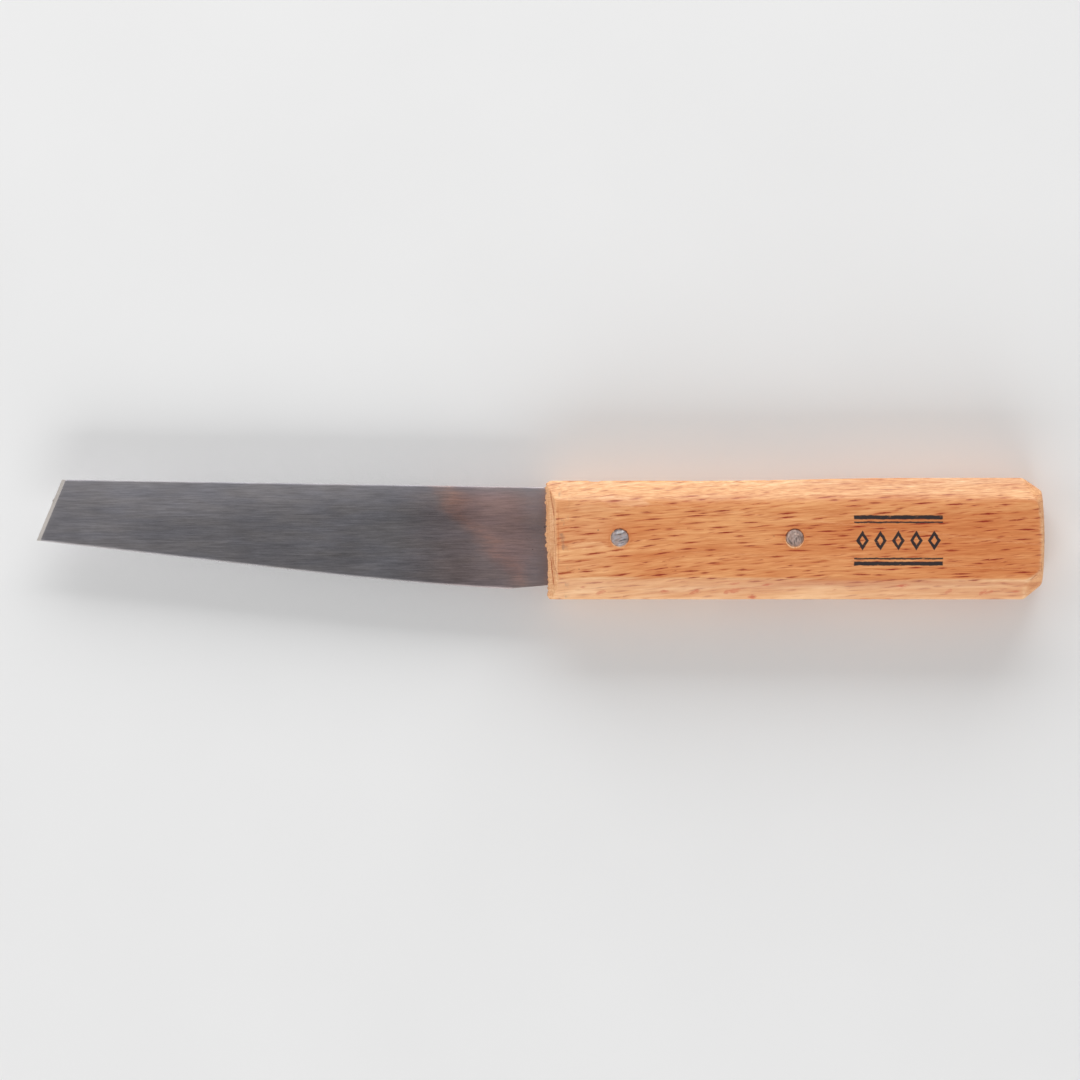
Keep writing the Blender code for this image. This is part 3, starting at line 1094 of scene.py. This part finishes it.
def relief(points, ways, end_grain, low, high):
    """Hand-worked unevenness: gentle waves along the flats, torn fibres on the front end."""
    front, edge, _ = low
    butt, spine, _ = high
    middle_z = (low[2] + high[2]) / 2
    on_side = ease(0.5, 0.9, np.abs(ways[:, 1]))
    waves = roughness(points, *WAVES) + roughness(points, *RIPPLES)
    waves += on_side * roughness(points, *NIBBLED_SIDES)
    points = points + ways * waves[:, None]
    x, y, z = points.T

    torn = sum(roughness(points, *fibres) for fibres in TORN_FRONT)
    torn *= 1 - 0.88 * ease(0.25, 0.5, np.abs(ways[:, 2]))
    past_split = left_of(points, (front + 0.4, edge + 10.15), (front + 2.9, edge + 3.5))
    lower_step = 0.28 * ease(0.15, -0.25, past_split)
    splinter = 0.26 * np.exp(-(((y - 0.6) / 0.7) ** 2) - ((z - middle_z - 2.2) / 1.2) ** 2)
    x -= end_grain * ease(front + 4.0, front + 2.6, x) * (torn + splinter - lower_step)
    at_butt = end_grain * ease(butt - 2.5, butt - 1.0, x)
    x += at_butt * roughness(points, *BUTT_ROUGHNESS)
    x -= butt_bow(y) * ease(butt - 10, butt - 5, x)

    near, far = NARROWING_FROM_BUTT
    narrow = 1 - ease(butt - far, butt - near, x)
    y -= NARROWING * narrow * ease(spine - 6.5, spine, y)
    on_spine_side = ease(spine - 2.2, spine - 1.2, y)
    for start, end, depth in CHIPS:
        chip = ease(front + start, front + start + 0.4, x)
        chip *= ease(front + end + 0.5, front + end, x)
        y -= depth * chip * on_spine_side
    return points


def slot_cutter(low, high):
    """The saw kerf for the tang: open at the front and both sides, with a round blind end."""
    blade_low, blade_high = box_mm("blade")
    reach = high[1] + CUTTER_OVERHANG
    open_end = low[0] - SLOT_OVERHANG
    centre_x = low[0] + SLOT_DEPTH - SAW_RADIUS
    sweep = math.asin(reach / SAW_RADIUS)
    outline = [(open_end, reach), (open_end, -reach)]
    for angle in np.linspace(-sweep, sweep, SAW_POINTS):
        outline.append((centre_x + SAW_RADIUS * math.cos(angle), SAW_RADIUS * math.sin(angle)))
    return prism("slot", outline, blade_low[2] - SLOT_GAP, blade_high[2] + SLOT_GAP)


def handle_piece(material):
    low, high = box_mm("handle")
    size = HANDLE_STEPS
    xs = graded(low[0], high[0], HANDLE_END_ZONE, size["x"], size["x_at_ends"])
    ys = steps(low[1], high[1], size["y"])
    zs = steps(low[2], high[2], size["z"])
    points, quads = lattice_shell(xs, ys, zs)
    points, ways, end_grain, arris_wear_and_highlight = carve(points, low, high)
    points = relief(points, ways, end_grain, low, high)
    piece = lattice_object("beech_handle", points, quads)
    store(piece, "end_grain", end_grain)
    store(piece, "arris_wear_and_highlight", arris_wear_and_highlight)
    cutters = [slot_cutter(low, high)]
    for node in RIVET_NODES:
        spot, radius = rivet_circle(node)
        hole = (spot + np.array(HOLE_SHIFT[node]), radius + HOLE_GAP, HOLE_SIDES)
        cutters.append(round_cutter(node + "_hole", *hole, low[2], high[2]))
    cut_away(piece, cutters)
    dress(piece, material, HANDLE_SHARP_DEGREES)
    return piece


# --- blade


def blade_stations(point_x, front_x, tang_end_x):
    """Where rows of points cross the blade: closest at the point, the heel and the tang's end."""
    spans = (
        (point_x, point_x + 1.8, 0.09),
        (point_x + 1.8, HEEL_X - 2, 0.6),
        (HEEL_X - 2, front_x + 2, 0.25),
        (front_x + 2, tang_end_x - 4, 1.5),
        (tang_end_x - 4, tang_end_x, 0.25),
    )
    return np.append(np.concatenate([steps(*span)[:-1] for span in spans]), tang_end_x)


def blade_edge_y(x, point_x):
    straight = POINT_Y - EDGE_DROP * (np.minimum(x, HEEL_X) - point_x)
    belly = np.maximum(np.minimum(x, HEEL_X) - BELLY_START_X, 0) ** 2 / (2 * BELLY_RADIUS)
    return straight + belly + HEEL_RISE * np.maximum(x - HEEL_X, 0)


def blade_outline(x, point_x, front_x, tang_end_x):
    """At each station: the edge's height, the spine's X after the skew, and the width."""
    in_tang = np.clip((x - front_x) / (tang_end_x - front_x), 0, 1)
    corner = np.maximum(x - (tang_end_x - TANG_CORNER), 0)
    tang_start_y = blade_edge_y(np.array(front_x), point_x)
    tang_edge_y = tang_start_y + (TANG_END_EDGE_Y - tang_start_y) * in_tang
    tang_spine_y = SPINE_Y + (TANG_END_SPINE_Y - SPINE_Y) * in_tang
    spine_x = x + SKEW_SETBACK * (1 - ease(point_x, point_x + SKEW_FADE, x))
    blade_spine_y = SPINE_Y + SPINE_RISE * (front_x - spine_x)
    edge_y = np.where(x > front_x, tang_edge_y, blade_edge_y(x, point_x)) + corner
    spine_y = np.where(x < front_x, blade_spine_y, tang_spine_y - corner)
    return edge_y, spine_x, spine_y - edge_y


def row_shares(row, width):
    """How far across the blade each row lies, from 0 at its edge to 1 at its spine."""
    edge_offsets = np.array(EDGE_ROWS + (0,) * (CROSS_ROWS + len(SPINE_ROWS)))
    spine_offsets = np.array((0,) * (len(EDGE_ROWS) + CROSS_ROWS) + SPINE_ROWS)
    first, last = EDGE_ROWS[-1] / width, 1 - SPINE_ROWS[0] / width
    inner = (row - len(EDGE_ROWS) + 1) / (CROSS_ROWS + 1)
    share = first + (last - first) * inner
    share = np.where(row < len(EDGE_ROWS), edge_offsets[row] / width, share)
    return np.where(row >= len(EDGE_ROWS) + CROSS_ROWS, 1 - spine_offsets[row] / width, share)


def ground_section(taper, ground, share, width, from_skew, thickness):
    """Half the thickness at each point: a thin wedge with an eased spine and a bevelled skew."""
    spine_half = (thickness + (TIP_SPINE_THICKNESS - thickness) * taper) / 2
    edge_half = EDGE_THICKNESS / 2 * ground + spine_half * (1 - ground)
    half = edge_half + (spine_half - edge_half) * share
    keen = KEEN_THICKNESS / 2
    keen_limit = keen + share * width * (EDGE_THICKNESS / 2 - keen) / MICRO_BEVEL
    half = np.minimum(half, keen_limit + 2 * (1 - ground))
    ease_width, ease_depth = SPINE_EASE
    half = half - ease_depth * np.clip(1 - (1 - share) * width / ease_width, 0, 1) ** 1.5
    return keen + (half - keen) * np.clip(from_skew / SKEW_BEVEL, 0, 1)


def fresh_steel(ground, from_edge, from_skew):
    """How freshly honed the steel is: most on the skew's bevel, a little along the edge."""
    fresh = ease(SKEW_BEVEL + 0.12, SKEW_BEVEL - 0.14, from_skew)
    worn = ease(SKEW_BEVEL + 1.0, SKEW_BEVEL, from_skew)
    fresh = np.maximum(fresh, WORN_BEVEL_SHARE * worn)
    whetted = ground * ease(MICRO_BEVEL, MICRO_BEVEL * 0.5, from_edge)
    return np.maximum(fresh, WHETTED_SHARE * whetted)


def blade_piece(material):
    """The blade and its tang: a lattice two layers thick, mapped onto the ground outline."""
    low, high = box_mm("blade")
    front_x = box_mm("handle")[0][0]
    point_x, tang_end_x = low[0], high[0]
    stations = blade_stations(point_x, front_x, tang_end_x)
    rows = np.arange(len(EDGE_ROWS) + CROSS_ROWS + len(SPINE_ROWS))
    points, quads = lattice_shell(stations, rows, np.array([-1.0, 1.0]))
    x, row, side = points.T
    edge_y, spine_x, width = blade_outline(x, point_x, front_x, tang_end_x)
    share = row_shares(row.astype(int), width)
    real_x = x + (spine_x - x) * share
    real_y = edge_y + width * share

    taper = np.clip((front_x - real_x) / (front_x - point_x), 0, 1)
    ground = ease(HEEL_X + GRIND_RUN_OUT, HEEL_X, x)
    from_edge = share * width
    from_skew = (x - point_x) * width / np.hypot(SKEW_SETBACK, width)
    half = ground_section(taper, ground, share, width, from_skew, high[2] - low[2])
    flat = np.stack([real_x, real_y, side * 3], axis=1)
    waves = sum(roughness(flat, *wave) for wave in GROUND_WAVES)
    waves = waves * ease(front_x + 1, front_x - 3, x)
    half = half + waves * ease(0, 1.5, from_skew) * ease(0, 1.0, from_edge)
    at_skew = ease(0.3, 0.0, from_skew)
    real_x = real_x - at_skew * roughness(flat, *SKEW_RAGGEDNESS)
    from_nick = (real_y - NICK["y"]) / NICK["half_width"]
    real_x = real_x - at_skew * NICK["depth"] * np.exp(-(from_nick**2))

    shape = np.stack([real_x, real_y, (low[2] + high[2]) / 2 + side * half], axis=1)
    piece = lattice_object("ground_blade", shape, quads)
    store(piece, "keen", fresh_steel(ground, from_edge, from_skew))
    cutters = []
    for node in RIVET_NODES:
        spot, radius = rivet_circle(node)
        hole = (spot, radius + HOLE_GAP / 2, TANG_HOLE_SIDES)
        cutters.append(round_cutter(node + "_tang", *hole, low[2], high[2]))
    cut_away(piece, cutters)
    dress(piece, material, BLADE_SHARP_DEGREES)
    return piece


# --- rivets


def rivet_piece(node, name, material, dome, seed):
    """A wire rivet: a turned pin whose ends are filed almost flat and left scratched."""
    low, high = box_mm(node)
    radius = (high[0] - low[0]) / 2
    half = (high[2] - low[2]) / 2
    inner_rim, outer_rim = RIVET_RIM
    end_radii = list(np.linspace(0.04, 1.0, RIVET_END_RINGS) * (radius - inner_rim))
    end_radii += [radius - outer_rim, radius]
    profile = [(r, -half) for r in end_radii] + [(radius, z) for z in (-half * 0.5, 0, half * 0.5)]
    profile += [(r, half) for r in end_radii[::-1]]
    turns = np.linspace(0, 2 * math.pi, RIVET_SIDES, endpoint=False)
    rings = np.array([[(r * math.cos(t), r * math.sin(t), z) for t in turns] for r, z in profile])
    points = rings.reshape(-1, 3)
    x, y, z = points.T

    radial = np.hypot(x, y)
    outward = np.sign(z) * (np.abs(z) > half * 0.9)
    angle = math.radians(28 + 9 * seed)
    along = x * math.cos(angle) + y * math.sin(angle)
    across = -x * math.sin(angle) + y * math.cos(angle)
    lines = np.stack([along * 0.35, across * 3.2, outward * 2 + seed * 5], axis=1)
    height = roughness(lines, SCRATCH_HEIGHT, (1, 1, 1), 11 + seed)
    height = height + dome * (1 - (radial / radius) ** 2)
    height = height - RIM_DROP * ease(radius - RIM_WIDTH, radius, radial) - RIVET_SUNK
    z += outward * height
    sides = tube_sides(RIVET_SIDES, len(profile))
    piece = capped(name, points + (low + high) / 2, sides, RIVET_SIDES)
    dress(piece, material, RIVET_SHARP_DEGREES)
    return piece


# --- studio


def softbox(name, place, target, size, power):
    light = bpy.data.lights.new(name, "AREA")
    light.shape = "RECTANGLE"
    light.size, light.size_y = size
    light.energy = power
    lamp = linked(name, light)
    lamp.location = place
    lamp.rotation_euler = (Vector(target) - Vector(place)).to_track_quat("-Z", "Y").to_euler()


def studio(low, high):
    """A pale floor, a soft room darker overhead than round the sides, and three softboxes."""
    middle = (Vector(low) + Vector(high)) / 2
    size = FLOOR_HALF_SIZE
    corners = [(-size, -size, 0), (size, -size, 0), (size, size, 0), (-size, size, 0)]
    floor = mesh_object("studio_floor", corners, [(0, 1, 2, 3)])
    floor.data.materials.append(studio_floor())
    floor.location = (0, 0, low[2] - FLOOR_GAP)
    floor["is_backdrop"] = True

    world = bpy.data.worlds.new("studio")
    world.use_nodes = True
    bpy.context.scene.world = world
    nodes, links = world.node_tree.nodes, world.node_tree.links
    place = nodes.new("ShaderNodeTexCoord")
    axes = nodes.new("ShaderNodeSeparateXYZ")
    ramp = nodes.new("ShaderNodeValToRGB")
    links.new(place.outputs["Generated"], axes.inputs[0])
    links.new(axes.outputs["Z"], ramp.inputs["Fac"])
    links.new(ramp.outputs["Color"], nodes["Background"].inputs["Color"])
    stops = ramp.color_ramp.elements
    (_, horizon), (middle_height, middle_grey), (_, zenith) = WORLD_GREYS
    stops[0].color = (horizon,) * 3 + (1,)
    stops[1].color = (zenith,) * 3 + (1,)
    stops.new(middle_height).color = (middle_grey,) * 3 + (1,)

    for name, (place, size, power) in SOFTBOXES.items():
        softbox(name, place, middle, size, power)


def camera(low, high):
    """Straight above the knife through a long lens, as flat as a drawing."""
    lens = bpy.data.cameras.new("camera")
    lens.sensor_width = SENSOR_WIDTH
    lens.lens = SENSOR_WIDTH * CAMERA_HEIGHT / FRAME_WIDTH
    lens.clip_end = VIEW_REACH
    view = linked("camera", lens)
    middle = (Vector(low) + Vector(high)) / 2
    view.location = middle + Vector((*FRAME_SHIFT, CAMERA_HEIGHT))
    bpy.context.scene.camera = view
    bpy.context.scene.view_settings.view_transform = "Standard"


cad_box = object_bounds()

handle = handle_piece(beech())
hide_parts("handle")

blade = blade_piece(blade_steel())
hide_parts("blade")

front_iron = rivet_iron(
    "front_rivet_iron",
    rivet_circle("front_rivet")[0],
    scratch_degrees=-20,
    brightness=1.02,
    marks=FRONT_RIVET_MARKS,
    tones=FRONT_RIVET_TONES,
)
front_pin = rivet_piece("front_rivet", "front_wire_rivet", front_iron, dome=0.0, seed=1)
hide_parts("front_rivet")
rear_iron = rivet_iron(
    "rear_rivet_iron",
    rivet_circle("rear_rivet")[0],
    scratch_degrees=80,
    brightness=0.94,
    marks=REAR_RIVET_MARKS,
    tones=REAR_RIVET_TONES,
)
rear_pin = rivet_piece("rear_rivet", "rear_wire_rivet", rear_iron, dome=0.05, seed=2)
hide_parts("rear_rivet")
for piece in (handle, blade, front_pin, rear_pin):
    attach(piece, BODY)

studio(*cad_box)
camera(*cad_box)

boxes = {"cad": cad_box, "visual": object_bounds()}
{k: [[float(c) for c in corner] for corner in v] for k, v in boxes.items()}
